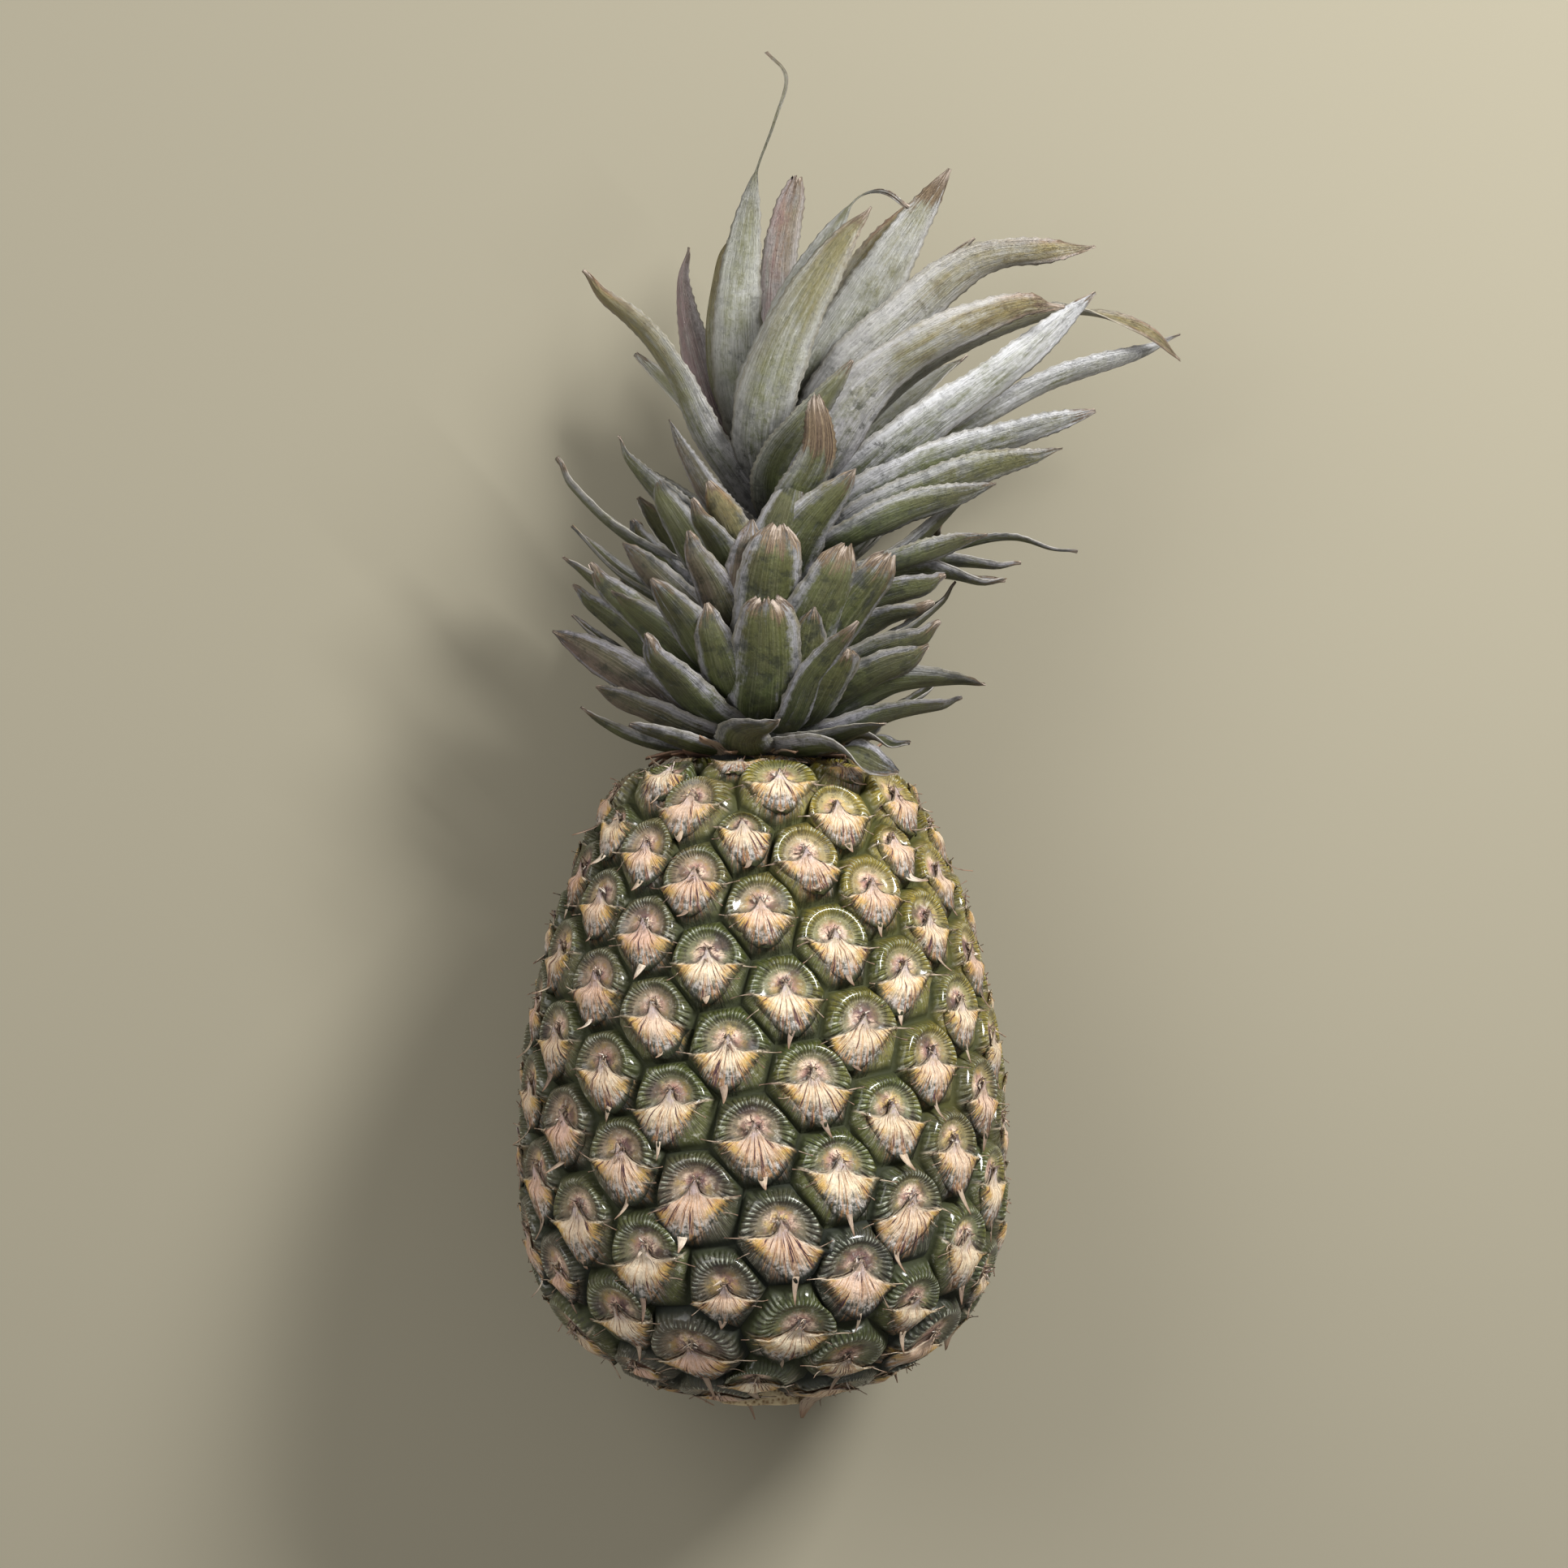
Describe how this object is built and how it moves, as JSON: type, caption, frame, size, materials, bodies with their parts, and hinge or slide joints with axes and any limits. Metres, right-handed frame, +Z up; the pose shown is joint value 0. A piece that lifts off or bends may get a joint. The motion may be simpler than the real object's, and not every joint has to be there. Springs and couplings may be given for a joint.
{
  "type": "pineapple",
  "caption": "Whole fresh pineapple lying on its side: a rounded fruit with spiral rows of raised eyes, a cut stalk end and a leafy crown that leans to one side.",
  "frame": {"origin": "on the surface that the fruit lies on, inside the flat spot under the fruit", "axes": "+Z up from the surface, +Y from the stalk towards the crown, +X to the right when seen from above with the crown at the top"},
  "size_m": [0.1746, 0.3483, 0.126],
  "materials": {
    "fruit_skin": "waxy olive green with pale dry bracts",
    "stalk": "dry cut fibres",
    "short_leaves": "grey-green with a silvery bloom",
    "green_leaf": "green with a silvery bloom",
    "ripening_leaf": "olive and orange-brown",
    "purple_leaf": "purple-brown with a silvery bloom"
  },
  "bodies": {
    "root": {"crown_stem": "short_leaves", "fruit": "fruit_skin", "leaf_back_lower_1": "green_leaf", "leaf_back_lower_2": "green_leaf", "leaf_back_lower_3": "green_leaf", "leaf_back_lower_4": "green_leaf", "leaf_back_pink": "purple_leaf", "leaf_back_upper_1": "green_leaf", "leaf_back_upper_2": "green_leaf", "leaf_back_upper_3": "green_leaf", "leaf_back_upper_4": "green_leaf", "leaf_back_upper_5": "green_leaf", "leaf_front_dry_tip": "green_leaf", "leaf_front_small": "green_leaf", "leaf_front_tall": "green_leaf", "leaf_front_tall_behind": "green_leaf", "leaf_left_edge": "green_leaf", "leaf_left_orange_tip": "ripening_leaf", "leaf_left_purple": "purple_leaf", "leaf_left_short": "green_leaf", "leaf_left_spreading": "green_leaf", "leaf_left_tendril": "green_leaf", "leaf_right_arching": "ripening_leaf", "leaf_right_green": "green_leaf", "leaf_right_hooked": "ripening_leaf", "leaf_right_long": "green_leaf", "leaf_right_low_green": "green_leaf", "leaf_right_lower": "green_leaf", "leaf_right_pale_tip": "green_leaf", "leaf_right_red_edge": "ripening_leaf", "leaf_right_silver": "green_leaf", "leaf_right_tall": "green_leaf", "leaf_right_white": "green_leaf", "leaf_right_wide": "green_leaf", "leaf_right_yellow_edge": "green_leaf", "stalk_end": "stalk"}
  },
  "joints": []
}
